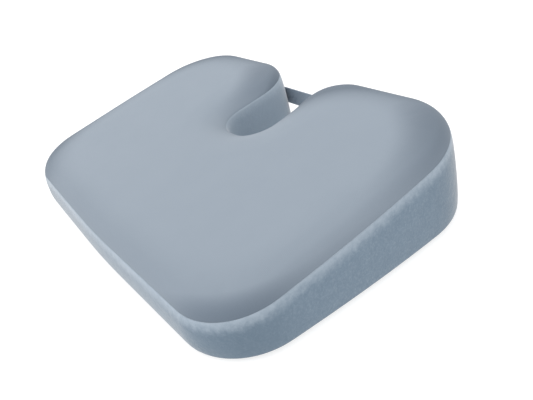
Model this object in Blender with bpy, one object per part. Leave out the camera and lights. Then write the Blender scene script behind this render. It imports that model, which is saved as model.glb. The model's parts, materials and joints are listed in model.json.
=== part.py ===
"""Wedge seat cushion with a coccyx cut-out, a zipped cover and a webbing carry handle.

Metres, +Z up. The origin lies on the floor under the middle of the cushion. The thin front
edge faces -Y, the thick rear edge with the cut-out faces +Y, and +X is on the right when
looking from the front edge to the rear.

Every soft layer follows one outline. A station is a point of that outline with its outward
direction, and a layer says how far a surface lies inside the cover's outer surface, so that
cover, liner and foam are offsets of each other.
"""

from collections import namedtuple
from math import atan2, cos, pi, radians, sin, tan

import bmesh
import bpy
from mathutils import Vector

# Driving dimensions: the plan, measured where the straight edges would meet.
FRONT_WIDTH = 0.441
REAR_WIDTH = 0.450
DEPTH = 0.283
FRONT_BOW = 0.006
SIDE_BOW = 0.0055
FRONT_RADIUS = 1.5
SIDE_RADIUS = 1.6
FRONT_CORNER_RADIUS = 0.059
REAR_CORNER_RADIUS = 0.078
CUTOUT_DEPTH = 0.1165
CUTOUT_MOUTH_WIDTH = 0.061
CUTOUT_END_WIDTH = 0.070
CUTOUT_MOUTH_RADIUS = 0.047
CUTOUT_END_RADIUS = 0.029

# Driving dimensions: the side view.
FRONT_SEAM_HEIGHT = 0.036
REAR_SEAM_HEIGHT = 0.0745
CROWN = 0.0125  # rise of the top panel's flat above its seam
SHOULDER = 0.030  # width of the roll between that seam and the flat
EDGE_RADIUS = 0.0055  # rounding between side and underside
LOW_BULGE = 0.0016  # how far the side stands out at the top of that rounding
FULL_BULGE = 0.0022
FULL_BULGE_HEIGHT = 0.028
HIGH_BULGE = 0.0017
HIGH_BULGE_SHARE = 0.55  # of the way from FULL_BULGE_HEIGHT to the seam
COMFORT_THICKNESS = 0.025
TOP_ANGLES = [radians(a) for a in (0, 30, 60, 90)]  # rows on the shoulder, seam to flat
FLOOR_ANGLE = radians(-90)
BASE_SEAM_ANGLE = radians(-50)  # where the side band meets the bottom panel

# Thicknesses and clearances.
GAP = 0.0003  # between pieces that touch
COVER_THICKNESS = 0.0015
LINER_THICKNESS = 0.0006
ZIP_ROOM = 0.0018  # extra depth behind the zipper for its tape and slider

# Zipper, in the left side and round the rear left corner.
CHAIN_HEIGHT = 0.020
ZIP_SLIT = 0.011
COIL_WIDTH = 0.0022
COIL_HALF_SPACE = 0.0008  # from the chain's centre line to each coil
COIL_PROUD = 0.0001
TAPE_THICKNESS = 0.0005
TAPE_WIDTH = 0.0105
TAPE_HALF_SPACE = 0.0010
STOP_LENGTH = 0.0027
STOP_END = 0.0010  # from the zipper's end to its stop
SLIDER_LENGTH = 0.009
SLIDER_WIDTH = 0.0065
SLIDER_PLATE = 0.0010
SLIDER_INNER_PLATE = 0.0007
SLIDER_WEB = 0.0008
BAIL_INSIDE = 0.0015  # half its inside length
BAIL_BAR = 0.0008
BAIL_WIDTH = 0.0020
PULL_THICKNESS = 0.0012
PULL_LENGTH = 0.024
PULL_WIDTH = 0.0068
PULL_WAIST_DISTANCE = 0.0024  # from the eye's end
PULL_WAIST_HALF = 0.0022

# Carry handle across the mouth of the cut-out.
WEBBING_WIDTH = 0.021
WEBBING_THICKNESS = 0.0016
HANDLE_HEIGHT = 0.039
HANDLE_FREE_HALF = 0.084  # from the middle to where the sewn end begins
SEWN_LENGTH = 0.044
STITCH_LENGTH = 0.032
STITCH_WIDTH = 0.016
THREAD_WIDTH = 0.0012
THREAD_HEIGHT = 0.0005
CROSSING_SHARE = 0.75  # of the thread's width, from the crossing's middle to each opening

ZIP_ARCS = ("rear_left", "side_left")

Corner = namedtuple("Corner", "name place radius steps")
Station = namedtuple("Station", "place outward arc")
Layer = namedtuple("Layer", "depth room")

COVER_OUTSIDE = Layer(0, 0)
COVER_INSIDE = Layer(COVER_THICKNESS, 0)
LINER_OUTSIDE = Layer(COVER_THICKNESS + GAP, ZIP_ROOM)
LINER_INSIDE = Layer(LINER_OUTSIDE.depth + LINER_THICKNESS, ZIP_ROOM)
FOAM_OUTSIDE = Layer(LINER_INSIDE.depth + GAP, ZIP_ROOM)
COIL_OUTSIDE = Layer(-COIL_PROUD, 0)
COIL_INSIDE = Layer(COVER_THICKNESS, 0)
TAPE_OUTSIDE = Layer(COVER_THICKNESS + GAP, 0)
TAPE_INSIDE = Layer(TAPE_OUTSIDE.depth + TAPE_THICKNESS, 0)


# ---------------------------------------------------------------- the outline


def mirrored(corner):
    """The left side's corner that matches one on the right."""
    name = corner.name.replace("right", "left")
    return corner._replace(name=name, place=Vector((-corner.place.x, corner.place.y)))


def corners():
    """The outline's corners, anticlockwise from the middle of the front edge."""
    side = (FRONT_WIDTH + REAR_WIDTH) / 4 + SIDE_BOW
    right = [
        Corner("front_right", Vector((FRONT_WIDTH / 2, -DEPTH / 2)), FRONT_CORNER_RADIUS, 6),
        Corner("side_right", Vector((side, 0)), SIDE_RADIUS, 5),
        Corner("rear_right", Vector((REAR_WIDTH / 2, DEPTH / 2)), REAR_CORNER_RADIUS, 6),
        Corner("mouth_right", Vector((CUTOUT_MOUTH_WIDTH / 2, DEPTH / 2)), CUTOUT_MOUTH_RADIUS, 6),
        Corner("end_right", Vector((CUTOUT_END_WIDTH / 2, DEPTH / 2 - CUTOUT_DEPTH)), CUTOUT_END_RADIUS, 5),
    ]
    left = [mirrored(corner) for corner in reversed(right)]
    front = Corner("front", Vector((0, -DEPTH / 2 - FRONT_BOW)), FRONT_RADIUS, 2)
    return [front, *right, *left]


def turned(vector, angle):
    """A flat vector turned anticlockwise."""
    return Vector((
        vector.x * cos(angle) - vector.y * sin(angle),
        vector.x * sin(angle) + vector.y * cos(angle),
    ))


def arc_centre(before, corner, after):
    """The centre of the corner's rounding, and the turn that the outline makes round it."""
    arriving = (corner.place - before.place).normalized()
    leaving = (after.place - corner.place).normalized()
    turn = atan2(arriving.cross(leaving), arriving.dot(leaving))
    start = corner.place - arriving * corner.radius * tan(abs(turn) / 2)
    side = 1 if turn > 0 else -1
    return start + turned(arriving, side * pi / 2) * corner.radius, start, turn


def rounded(before, corner, after):
    """The stations on one rounded corner."""
    centre, start, turn = arc_centre(before, corner, after)
    spoke = start - centre
    side = 1 if turn > 0 else -1
    stations = []
    for step in range(corner.steps + 1):
        arm = turned(spoke, turn * step / corner.steps)
        stations.append(Station(centre + arm, side * arm.normalized(), corner.name))
    return stations


def neighbours(items):
    """Each item with the one before it and the one after it, round a closed list."""
    return zip(items[-1:] + items[:-1], items, items[1:] + items[:1])


OUTLINE = [station for trio in neighbours(corners()) for station in rounded(*trio)]


def first_on(arc):
    return min(index for index, station in enumerate(OUTLINE) if station.arc == arc)


def last_on(arc):
    return max(index for index, station in enumerate(OUTLINE) if station.arc == arc)


def along(start, end):
    """The outline's stations from one index to another, anticlockwise."""
    return (OUTLINE + OUTLINE)[start : end + 1 if end >= start else end + 1 + len(OUTLINE)]


def between(station, other, distance):
    """The station at a distance along the straight run from one station to another."""
    share = distance / (other.place - station.place).length
    return Station(
        station.place.lerp(other.place, share),
        station.outward.lerp(other.outward, share),
        station.arc,
    )


def trimmed(path, start_cut, end_cut):
    """A path of stations shortened at both ends."""
    return [between(path[0], path[1], start_cut), *path[1:-1], between(path[-1], path[-2], end_cut)]


# ------------------------------------------------- places on the soft surfaces


def seam_height(y):
    """Height of the plane that the top seam lies in."""
    return FRONT_SEAM_HEIGHT + (REAR_SEAM_HEIGHT - FRONT_SEAM_HEIGHT) * (y + DEPTH / 2) / DEPTH


def bulge(height, seam):
    """How far the side stands out from the outline at a height."""
    high = FULL_BULGE_HEIGHT + (seam - FULL_BULGE_HEIGHT) * HIGH_BULGE_SHARE
    rows = [(EDGE_RADIUS, LOW_BULGE), (FULL_BULGE_HEIGHT, FULL_BULGE), (high, HIGH_BULGE), (seam, 0)]
    for (low, start), (top, end) in zip(rows, rows[1:]):
        if height <= top:
            return start + (end - start) * (height - low) / (top - low)
    return 0


def inset(station, layer):
    """How far a layer lies inside the cover's side at a station."""
    return layer.depth + (layer.room if station.arc in ZIP_ARCS else 0)


def out_from(station, distance):
    return station.place + station.outward * distance


def on_edge(station, layer, angle):
    """On the rounding under the side: -90 degrees is the underside and 0 the side."""
    reach = EDGE_RADIUS + LOW_BULGE - inset(station, layer)
    flat = out_from(station, -EDGE_RADIUS + reach * cos(angle))
    return Vector((*flat, EDGE_RADIUS + (EDGE_RADIUS - layer.depth) * sin(angle)))


def on_side(station, layer, height):
    """On the side at a height above the rounding."""
    stand_out = bulge(height, seam_height(station.place.y))
    return Vector((*out_from(station, stand_out - inset(station, layer)), height))


def on_high_row(station, layer):
    """On the side's row between its fullest height and the seam."""
    seam = seam_height(station.place.y)
    return on_side(station, layer, FULL_BULGE_HEIGHT + (seam - FULL_BULGE_HEIGHT) * HIGH_BULGE_SHARE)


def on_top(station, layer, angle, lift=0):
    """On the shoulder above the seam: 0 degrees is the seam and 90 the flat."""
    flat = out_from(station, -SHOULDER + (SHOULDER - inset(station, layer)) * cos(angle))
    return Vector((*flat, seam_height(flat.y) + (CROWN - layer.depth) * sin(angle) + lift))


def on_split(station, layer, lift=0):
    """On the plane between the two foams."""
    drop = COMFORT_THICKNESS + FOAM_OUTSIDE.depth - CROWN
    rough = on_side(station, layer, seam_height(station.place.y) - drop)
    return Vector((rough.x, rough.y, seam_height(rough.y) - drop + lift))


def ring(row, layer, *how):
    """A closed row of points round the whole outline."""
    return [row(station, layer, *how) for station in OUTLINE]


# ---------------------------------------------------------- making the objects


def material(name, colour, roughness, metallic=0):
    made = bpy.data.materials.new(name)
    made.use_nodes = True
    shader = made.node_tree.nodes["Principled BSDF"]
    shader.inputs["Base Color"].default_value = (*colour, 1)
    shader.inputs["Roughness"].default_value = roughness
    shader.inputs["Metallic"].default_value = metallic
    return made


def mesh_object(name, shape, look):
    """An object from a bmesh whose surface is closed."""
    bmesh.ops.recalc_face_normals(shape, faces=shape.faces)
    mesh = bpy.data.meshes.new(name)
    shape.to_mesh(mesh)
    shape.free()
    mesh.shade_smooth()
    mesh.set_sharp_from_angle(angle=radians(35))
    made = bpy.data.objects.new(name, mesh)
    bpy.context.collection.objects.link(made)
    if look:
        mesh.materials.append(look)
    return made


def loft(name, loops, look):
    """A solid through closed loops of equal length, capped on the first and the last."""
    shape = bmesh.new()
    rows = [[shape.verts.new(point) for point in loop] for loop in loops]
    for row, following in zip(rows, rows[1:]):
        for k in range(len(row)):
            shape.faces.new((row[k - 1], row[k], following[k], following[k - 1]))
    shape.faces.new(rows[0])
    shape.faces.new(rows[-1])
    return mesh_object(name, shape, look)


def prism(name, outline, depth, look):
    """A flat outline pushed along a vector."""
    return loft(name, [outline, [point + depth for point in outline]], look)


def strip(name, path, rows, look):
    """A strip of constant make-up along a path: rows are points of its section, outside then inside."""
    return loft(name, [[row(station) for row in rows] for station in path], look)


def plate(name, outlines, thickness, look):
    """A flat plate from an outline and the outlines of its holes, standing on its long side."""
    curve = bpy.data.curves.new(name, "CURVE")
    curve.dimensions = "2D"
    curve.fill_mode = "BOTH"
    curve.extrude = thickness / 2
    for outline in outlines:
        spline = curve.splines.new("POLY")
        spline.points.add(len(outline) - 1)
        for point, (x, y) in zip(spline.points, outline):
            point.co = (x, y, 0, 1)
        spline.use_cyclic_u = True
    curve.materials.append(look)
    made = bpy.data.objects.new(name, curve)
    bpy.context.collection.objects.link(made)
    made.rotation_euler.x = pi / 2
    return made


def empty(name, place, parent=None):
    """A joint's axis, which carries the pieces that move on it."""
    made = bpy.data.objects.new(name, None)
    made.location = place
    made.parent = parent
    bpy.context.collection.objects.link(made)
    return made


def soften(thing, width):
    """Takes the sharp edges off a small hard piece."""
    bevel = thing.modifiers.new("soft_edges", "BEVEL")
    bevel.width = width
    bevel.segments = 1
    bevel.limit_method = "ANGLE"


# ------------------------------------------------------------- foam and liner


def make_foams(base_look, comfort_look):
    loft("foam_base", [
        ring(on_edge, FOAM_OUTSIDE, FLOOR_ANGLE),
        ring(on_edge, FOAM_OUTSIDE, BASE_SEAM_ANGLE),
        ring(on_edge, FOAM_OUTSIDE, 0),
        ring(on_split, FOAM_OUTSIDE),
    ], base_look)
    loft("foam_comfort_layer", [
        ring(on_split, FOAM_OUTSIDE, GAP),
        *[ring(on_top, FOAM_OUTSIDE, angle) for angle in TOP_ANGLES],
    ], comfort_look)


def make_liners(look):
    """The inner sock, as a tray below the foams' joint and a lid above it."""
    tray = [(on_edge, FLOOR_ANGLE), (on_edge, BASE_SEAM_ANGLE), (on_edge, 0), (on_split,)]
    lid = [(on_split, GAP), *[(on_top, angle) for angle in TOP_ANGLES]]
    loft("liner_lower", [
        *[ring(row, LINER_OUTSIDE, *how) for row, *how in tray],
        *[ring(row, LINER_INSIDE, *how) for row, *how in reversed(tray)],
    ], look)
    loft("liner_upper", [
        *[ring(row, LINER_OUTSIDE, *how) for row, *how in reversed(lid)],
        *[ring(row, LINER_INSIDE, *how) for row, *how in lid],
    ], look)


# ----------------------------------------------------------------- the cover


def make_top_panel(look):
    rows = [(angle, GAP / 2 if angle == 0 else 0) for angle in TOP_ANGLES]
    loft("top_panel", [
        *[ring(on_top, COVER_OUTSIDE, *row) for row in reversed(rows)],
        *[ring(on_top, COVER_INSIDE, *row) for row in rows],
    ], look)


def make_bottom_panel(look):
    seam = BASE_SEAM_ANGLE - GAP / 2 / EDGE_RADIUS
    loft("bottom_panel", [
        ring(on_edge, COVER_OUTSIDE, FLOOR_ANGLE),
        ring(on_edge, COVER_OUTSIDE, seam),
        ring(on_edge, COVER_INSIDE, seam),
        ring(on_edge, COVER_INSIDE, FLOOR_ANGLE),
    ], look)


def both_sides(*rows):
    """A strip's section: rows from bottom to top outside, and back down inside."""
    outside = [lambda station, row=row: row(station, COVER_OUTSIDE) for row in rows]
    inside = [lambda station, row=row: row(station, COVER_INSIDE) for row in reversed(rows)]
    return outside + inside


def base_seam_row(station, layer):
    return on_edge(station, layer, BASE_SEAM_ANGLE + GAP / 2 / EDGE_RADIUS)


def edge_top_row(station, layer):
    return on_edge(station, layer, 0)


def full_row(station, layer):
    return on_side(station, layer, FULL_BULGE_HEIGHT)


def top_seam_row(station, layer):
    return on_top(station, layer, 0, -GAP / 2)


def slit_low_row(station, layer):
    return on_side(station, layer, CHAIN_HEIGHT - ZIP_SLIT / 2)


def slit_high_row(station, layer):
    return on_side(station, layer, CHAIN_HEIGHT + ZIP_SLIT / 2)


def make_bands(look):
    """The side band in its sewn lengths, with the slit for the zipper in the left one."""
    whole = both_sides(base_seam_row, edge_top_row, full_row, on_high_row, top_seam_row)
    lengths = {
        "band_main": along(last_on("side_left"), first_on("mouth_right")),
        "band_cutout": along(first_on("mouth_right"), last_on("mouth_left")),
        "band_rear_left": along(last_on("mouth_left"), first_on("rear_left")),
    }
    for name, path in lengths.items():
        strip(name, trimmed(path, GAP / 2, GAP / 2), whole, look)
    path = trimmed(zipper_path(), GAP / 2, GAP / 2)
    strip("band_zip_lower", path, both_sides(base_seam_row, edge_top_row, slit_low_row), look)
    strip("band_zip_upper", path, both_sides(slit_high_row, full_row, on_high_row, top_seam_row), look)


# ---------------------------------------------------------------- the zipper


def zipper_path():
    return along(first_on("rear_left"), last_on("side_left"))


def bar_rows(outside, inside, low, high):
    """The section of a bar that lies in the side between two heights."""
    return [
        lambda station: on_side(station, outside, low),
        lambda station: on_side(station, outside, high),
        lambda station: on_side(station, inside, high),
        lambda station: on_side(station, inside, low),
    ]


def make_zipper_chain(tape_look, coil_look, stop_look):
    path = zipper_path()
    room = STOP_END + STOP_LENGTH + GAP
    for name, side in (("upper", 1), ("lower", -1)):
        near = CHAIN_HEIGHT + side * TAPE_HALF_SPACE
        far = near + side * TAPE_WIDTH
        tape = bar_rows(TAPE_OUTSIDE, TAPE_INSIDE, near, far)
        strip("zipper_tape_" + name, trimmed(path, GAP, GAP), tape, tape_look)
        near = CHAIN_HEIGHT + side * COIL_HALF_SPACE
        far = near + side * COIL_WIDTH
        coil = bar_rows(COIL_OUTSIDE, COIL_INSIDE, near, far)
        strip("zipper_coil_" + name, trimmed(path, room, room), coil, coil_look)
        closed_end = [
            between(path[-1], path[-2], STOP_END + STOP_LENGTH),
            between(path[-1], path[-2], STOP_END),
        ]
        strip("zipper_top_stop_" + name, closed_end, coil, stop_look)
    open_end = [
        between(path[0], path[1], STOP_END),
        between(path[0], path[1], STOP_END + STOP_LENGTH),
    ]
    reach = COIL_HALF_SPACE + COIL_WIDTH
    bridge = bar_rows(COIL_OUTSIDE, COIL_INSIDE, CHAIN_HEIGHT - reach, CHAIN_HEIGHT + reach)
    strip("zipper_bottom_stop", open_end, bridge, stop_look)


def side_arc():
    """Centre and radius of the circle that the chain follows along the left side."""
    left = [trio for trio in neighbours(corners()) if trio[1].name == "side_left"][0]
    centre, _, _ = arc_centre(*left)
    return centre, SIDE_RADIUS + bulge(CHAIN_HEIGHT, FRONT_SEAM_HEIGHT)


def slider_section():
    """The slider across the chain: x out of the side, z up. Two plates on a web."""
    plate_low = COIL_PROUD + GAP
    plate_top = plate_low + SLIDER_PLATE
    inner_top = -TAPE_INSIDE.depth - GAP
    inner_low = inner_top - SLIDER_INNER_PLATE
    half = SLIDER_WIDTH / 2
    web = SLIDER_WEB / 2
    outer = [(plate_top, half), (plate_low, half), (plate_low, web)]
    upper = outer + [(inner_top, web), (inner_top, half), (inner_low, half)]
    lower = [(x, -z) for x, z in reversed(upper)]
    return [Vector((x, 0, z)) for x, z in upper + lower]


def bail_outline():
    """The bridge on the slider's outer plate, seen along z: an arch open towards the side."""
    foot = COIL_PROUD + GAP + SLIDER_PLATE / 2
    inside = pull_distance() + PULL_THICKNESS / 2 + COIL_PROUD + GAP
    outside = inside + BAIL_BAR
    near = BAIL_INSIDE
    far = near + BAIL_BAR
    over = [(foot, far), (outside, far), (outside, -far), (foot, -far)]
    under = [(foot, -near), (inside, -near), (inside, near), (foot, near)]
    return [Vector((x, y, 0)) for x, y in over + under]


def pull_distance():
    """How far out of the side the pull's own axis lies."""
    return COIL_PROUD + GAP + SLIDER_PLATE + GAP + PULL_THICKNESS / 2


def pull_outlines():
    """The pull tab with the eye that hooks on the bail: x along the tab from its axis, y across it."""
    bar = PULL_THICKNESS / 2
    eye_end = BAIL_INSIDE + BAIL_BAR * 2 + bar / 2
    eye_half = BAIL_WIDTH / 2 + 2 * GAP
    neck = eye_half + PULL_THICKNESS
    grip = PULL_WIDTH / 2
    tip = PULL_LENGTH - grip
    waist = eye_end + PULL_WAIST_DISTANCE
    right = [(-bar, neck), (eye_end + bar, neck), (waist, PULL_WAIST_HALF), (tip / 2, grip)]
    bend = [(tip + grip * sin(radians(a)), grip * cos(radians(a))) for a in range(0, 181, 30)]
    left = [(x, -y) for x, y in reversed(right)]
    eye = [(bar, eye_half), (eye_end, eye_half), (eye_end, -eye_half), (bar, -eye_half)]
    return [right + bend + left, eye]


def make_slider_and_pull(look):
    """The slider at the zipper's closed end, on the empty at the centre of the side's arc."""
    centre, radius = side_arc()
    closed = zipper_path()[-1].outward
    start = STOP_END + STOP_LENGTH + GAP + SLIDER_LENGTH / 2
    outward = turned(closed, -start / radius)
    heading = atan2(outward.y, outward.x)
    axis = empty("slider_axis", Vector((*centre, 0)))
    slider = prism("zipper_slider", slider_section(), Vector((0, SLIDER_LENGTH, 0)), look)
    for vertex in slider.data.vertices:
        vertex.co.y -= SLIDER_LENGTH / 2
    bail = prism("bail", bail_outline(), Vector((0, 0, BAIL_WIDTH)), look)
    bail.location.z = -BAIL_WIDTH / 2
    bail.parent = slider
    bail.hide_render = True
    bail.display_type = "WIRE"
    union = slider.modifiers.new("bail", "BOOLEAN")
    union.operation = "UNION"
    union.object = bail
    slider.parent = axis
    slider.location = Vector((*(outward * radius), CHAIN_HEIGHT))
    slider.rotation_euler.z = heading
    pull_axis = empty("pull_axis", Vector((*(outward * (radius + pull_distance())), CHAIN_HEIGHT)), axis)
    pull_axis.rotation_euler.z = heading
    pull = plate("zipper_pull", pull_outlines(), PULL_THICKNESS, look)
    pull.parent = pull_axis
    pull.rotation_euler.z = -pi / 2


# ---------------------------------------------------------------- the handle


def webbing(name, start, end, look):
    """A flat length of webbing on the rear face, from one x to another."""
    inner = DEPTH / 2 + FULL_BULGE + GAP
    low = -WEBBING_WIDTH / 2
    outline = [
        Vector((start, inner, low)),
        Vector((end, inner, low)),
        Vector((end, inner + WEBBING_THICKNESS, low)),
        Vector((start, inner + WEBBING_THICKNESS, low)),
    ]
    made = prism(name, outline, Vector((0, 0, WEBBING_WIDTH)), look)
    made.location.z = HANDLE_HEIGHT
    soften(made, WEBBING_THICKNESS / 4)
    return made


def stitch_outlines():
    """A box of stitching with its crossed diagonals, as an outline and its four openings."""
    long_half = STITCH_LENGTH / 2
    short_half = STITCH_WIDTH / 2
    near = [(-long_half, -short_half), (long_half, -short_half)]
    outline = near + [(long_half, short_half), (-long_half, short_half)]
    side = long_half - THREAD_WIDTH
    top = short_half - THREAD_WIDTH
    slope_gap = THREAD_WIDTH * CROSSING_SHARE
    spread = side - slope_gap * long_half / short_half
    rise = top - slope_gap
    openings = []
    for sign in (1, -1):
        openings.append([(sign * spread, sign * top), (-sign * spread, sign * top), (0, sign * slope_gap)])
        openings.append([(sign * side, -sign * rise), (sign * side, sign * rise), (sign * slope_gap * 2, 0)])
    return [outline, *openings]


def make_handle(webbing_look, thread_look):
    """One webbing: its sewn ends stay on the cushion, and the length between them gives."""
    webbing("handle_grip", -HANDLE_FREE_HALF, HANDLE_FREE_HALF, webbing_look)
    near = HANDLE_FREE_HALF + GAP
    far = near + SEWN_LENGTH
    outer_face = DEPTH / 2 + FULL_BULGE + GAP + WEBBING_THICKNESS
    for name, side in (("left", -1), ("right", 1)):
        start, end = sorted((side * near, side * far))
        webbing("handle_end_" + name, start, end, webbing_look)
        stitch = plate("handle_stitch_" + name, stitch_outlines(), THREAD_HEIGHT, thread_look)
        stitch.location = ((start + end) / 2, outer_face + GAP + THREAD_HEIGHT / 2, HANDLE_HEIGHT)


# ------------------------------------------------------------------ assembly


def main():
    for thing in list(bpy.data.objects):
        bpy.data.objects.remove(thing)
    knit = material("top_knit", (0.40, 0.46, 0.52), 0.85)
    velour = material("side_velour", (0.32, 0.39, 0.45), 0.95)
    grip_fabric = material("grip_fabric", (0.12, 0.14, 0.16), 0.9)
    liner = material("liner_cloth", (0.80, 0.80, 0.78), 0.9)
    base_foam = material("support_foam", (0.75, 0.75, 0.70), 0.95)
    comfort_foam = material("memory_foam", (0.85, 0.82, 0.70), 0.95)
    strap = material("webbing", (0.12, 0.16, 0.20), 0.8)
    thread = material("thread", (0.10, 0.13, 0.17), 0.7)
    tape = material("zipper_tape", (0.20, 0.25, 0.29), 0.9)
    coil = material("zipper_coil", (0.22, 0.27, 0.31), 0.4)
    metal = material("zipper_metal", (0.25, 0.28, 0.31), 0.35, 1)
    make_foams(base_foam, comfort_foam)
    make_liners(liner)
    make_top_panel(knit)
    make_bottom_panel(grip_fabric)
    make_bands(velour)
    make_zipper_chain(tape, coil, metal)
    make_slider_and_pull(metal)
    make_handle(strap, thread)


main()
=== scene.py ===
"""Looks of the wedge seat cushion: knit top, velour side band, anti-slip underside, zipper and
webbing handle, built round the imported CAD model. Metres, in the CAD's own frame."""

import json
from collections import namedtuple
from math import atan2, cos, exp, pi, radians, sin, tan

import bmesh
import bpy
import numpy as np
from mathutils import Matrix, Vector
from mathutils.geometry import delaunay_2d_cdt


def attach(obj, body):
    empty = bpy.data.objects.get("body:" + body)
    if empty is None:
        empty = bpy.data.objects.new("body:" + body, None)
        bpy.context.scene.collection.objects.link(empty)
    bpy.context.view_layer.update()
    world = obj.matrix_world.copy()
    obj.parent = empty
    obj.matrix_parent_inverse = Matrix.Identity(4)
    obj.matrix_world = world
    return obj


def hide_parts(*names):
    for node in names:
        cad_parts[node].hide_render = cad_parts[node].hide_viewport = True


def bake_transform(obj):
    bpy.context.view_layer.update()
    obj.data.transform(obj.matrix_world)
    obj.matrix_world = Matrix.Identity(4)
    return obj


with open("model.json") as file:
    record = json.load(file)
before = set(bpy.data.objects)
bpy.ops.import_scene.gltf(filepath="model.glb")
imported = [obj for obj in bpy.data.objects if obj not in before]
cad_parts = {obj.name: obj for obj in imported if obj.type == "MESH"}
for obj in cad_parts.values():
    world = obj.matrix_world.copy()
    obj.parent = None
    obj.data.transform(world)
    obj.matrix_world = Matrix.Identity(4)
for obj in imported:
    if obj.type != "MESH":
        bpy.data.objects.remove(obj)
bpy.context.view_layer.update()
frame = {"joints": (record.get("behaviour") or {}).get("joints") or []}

# The cushion's plan and side view, as in the CAD.
FRONT_WIDTH = 0.441
REAR_WIDTH = 0.450
DEPTH = 0.283
FRONT_BOW = 0.006
SIDE_BOW = 0.0055
FRONT_RADIUS = 1.5
SIDE_RADIUS = 1.6
FRONT_CORNER_RADIUS = 0.059
REAR_CORNER_RADIUS = 0.078
CUTOUT_DEPTH = 0.1165
CUTOUT_MOUTH_WIDTH = 0.061
CUTOUT_END_WIDTH = 0.070
CUTOUT_MOUTH_RADIUS = 0.047
CUTOUT_END_RADIUS = 0.029
FRONT_SEAM_HEIGHT = 0.036
REAR_SEAM_HEIGHT = 0.0745
CROWN = 0.0125
SHOULDER = 0.030
EDGE_RADIUS = 0.0055
ROLL = 0.013  # width of the steeper part of the shoulder
ROLL_SHARE = 0.74  # of the crown that it rises
DOME = 0.048  # width of the gentle slope above it
CUTOUT_SLOPE = 0.036  # width of the even slope down to the inner part of the cutout
CUTOUT_NEAR = 0.062  # from the cutout's middle line: up to here it is all even slope,
CUTOUT_FAR = 0.098  # and from here on none
MOUTH_NEAR = 0.020  # from the rear edge: up to here there is no even slope,
MOUTH_FAR = 0.070  # and from here on all of it
BULGE = 0.0022
BULGE_FOOT = 0.72  # of the bulge that the side has at the bottom edge
COMFORT_THICKNESS = 0.025
BASE_SEAM_ANGLE = radians(-50)
FLOOR_ANGLE = radians(-90)

# How the cover is made up.
STEP = 0.002  # between stations along the outline
CLOTH = 0.0008
SEAM_RECESS = 0.0010  # how deep a seam pulls in
SEAM_REACH = 0.0035  # and how far from it the cloth feels it
CROSS_SEAM_SHARE = 0.8  # of that depth, at the seams between the band's lengths
HEM = 0.0012
LINER_DEPTH = 0.0018
LINER_CLOTH = 0.0006
FOAM_DEPTH = 0.0027
ZIP_ROOM = 0.0018  # extra depth behind the zipper
TRAY_SPACING = 0.012  # between points inside the flat ends of the foam and the liner,
TOP_SPACING = 0.005  # inside the top,
BASE_SPACING = 0.008  # and inside the underside
LID_LIFT = 0.0003  # of the upper foam off the lower one
DOT_PITCH = 0.012
DOT_RADIUS = 0.0021
DOT_HEIGHT = 0.0006
DOT_SINK = 0.0001
DOT_PROFILE = ((1.0, 0.0), (0.95, 0.45), (0.75, 0.85), (0.40, 1.0))  # shares of radius and height

# What the painted shade and painted light in the colours follow.
CELL = 0.003  # of the grid that openness is worked out on
WIDE_REACH = 0.038  # how far round a place it looks, for the broad painted shade on the cloth
NARROW_REACH = 0.009  # and for the line of painted shade close to the edge
PAINTED_SHADE_WAY = np.array([0.91, -0.41])  # painted shade on the knit follows this way: cloth that falls away along it gets less, against it more
PAINTED_SHADE_ACROSS = np.array([0.71, 0.71])  # cloth that falls away steeply along this gets painted shade
LEAN_SCALE = 9.0
CUTOUT_PAINTED_LIGHT_REACH = 0.03  # from the ends of the cutout's band to where its painted light is full

# How the top's cloth is stretched.
SWELL_FRAMES = 12
SWELL_CAP = 0.0009  # less than the room between cover and liner
SWELL_CLOTH = {
    "quality": 6,
    "mass": 0.15,
    "tension_stiffness": 20,
    "compression_stiffness": 4,
    "shear_stiffness": 3,
    "bending_stiffness": 12,
    "vertex_group_mass": "sewn",
    "use_pressure": True,
    "uniform_pressure_force": 0.8,
}

# Zipper.
CHAIN_HEIGHT = 0.020
ZIP_SLIT = 0.011
TAPE_DEPTH = 0.0018
TAPE_CLOTH = 0.0005
TAPE_NEAR = 0.0010
TAPE_FAR = 0.0115
COIL_PITCH = 0.00125  # on chain_guide's run
COIL_WIRE = 0.00028
COIL_NEAR = 0.00045  # from the chain's centre line to the tips of the loops
COIL_FAR = 0.0030
COIL_DEPTHS = (-0.0001, 0.0015)
TURN_POINTS = 10  # along one loop of the coil
SEWN_FROM_SLIT = 0.0022
STOP_END = 0.0010
STOP_LENGTH = 0.0027
STOP_DEPTH = 0.0007  # of the stops' middle under the surface
STOP_HALF_DEPTH = 0.0008
STOP_PINCH = 0.75  # of its size, at its ends
SLIDER_LENGTH = 0.009
SLIDER_WIDTH = 0.0065
SLIDER_TAPER = 0.30
SLIDER_FRONT = (0.0004, 0.0014)  # each part of the slider, from and to, out of the surface
SLIDER_BACK = (-0.0033, -0.0026)
SLIDER_POST = (-0.0028, 0.0006)
POST_LENGTH = 0.0026
POST_WIDTH = 0.0008
POST_FORWARD = 0.0028  # of the slider's middle
BAIL_HALF = 0.0019
BAIL_WIRE = 0.00042
BAIL_FOOT = 0.0009
BAIL_RISE = 0.0028
PULL_LENGTH = 0.024
PULL_WIDTH = 0.0068
PULL_WAIST = 0.66  # of its width, at the bail
PULL_WAIST_SHARE = 0.45  # of its length, where it widens
PULL_THICKNESS = 0.0012
PULL_ROUNDING = 0.0002
PULL_STAND_OUT = 0.0023  # from the side's surface to the pull's axis
EYE_PLACE = 0.0021  # from the pull's axis
EYE_HALF_LENGTH = 0.0014
EYE_HALF_WIDTH = 0.0015
BAR_LENGTH = 0.0012
BAR_SHARE = 0.62  # of the pull's width
BAR_RISE = 0.00035
BAR_SINK = 0.0001
BAR_PLACES = np.linspace(0.012, 0.020, 5)

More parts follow.
